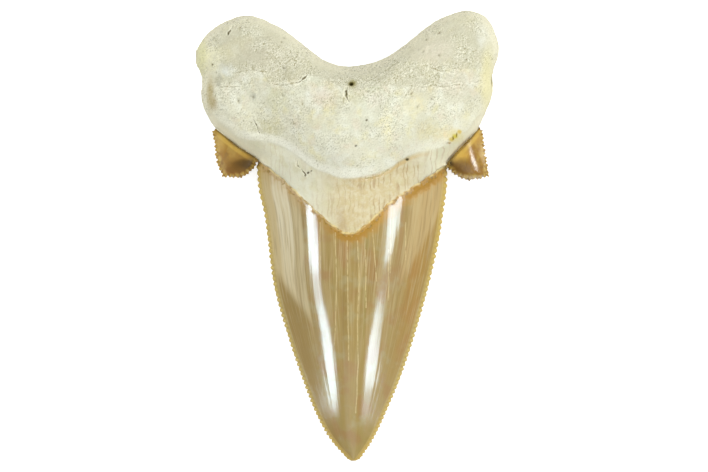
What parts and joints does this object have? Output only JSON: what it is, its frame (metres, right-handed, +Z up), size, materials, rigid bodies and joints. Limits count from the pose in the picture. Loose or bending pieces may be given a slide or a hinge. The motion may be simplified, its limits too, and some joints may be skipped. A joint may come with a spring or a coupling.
{
  "type": "fossil sokolovi shark tooth",
  "caption": "Fossil shark tooth lying on its flat side: serrated glossy main cusp, small serrated side cusplets, smooth dental band and a broad two-lobed matte root.",
  "frame": {"origin": "on the resting plane, under the middle of the tooth's length and width", "axes": "+Y from the tip of the main cusp towards the root, +X to the right seen from above, +Z up out of the convex lingual face"},
  "size_m": [0.0504, 0.0751, 0.0151],
  "materials": {
    "fossil_tooth": "matte cream root, glossy caramel enamel"
  },
  "bodies": {
    "root": {"shark_tooth": "fossil_tooth"}
  },
  "joints": []
}
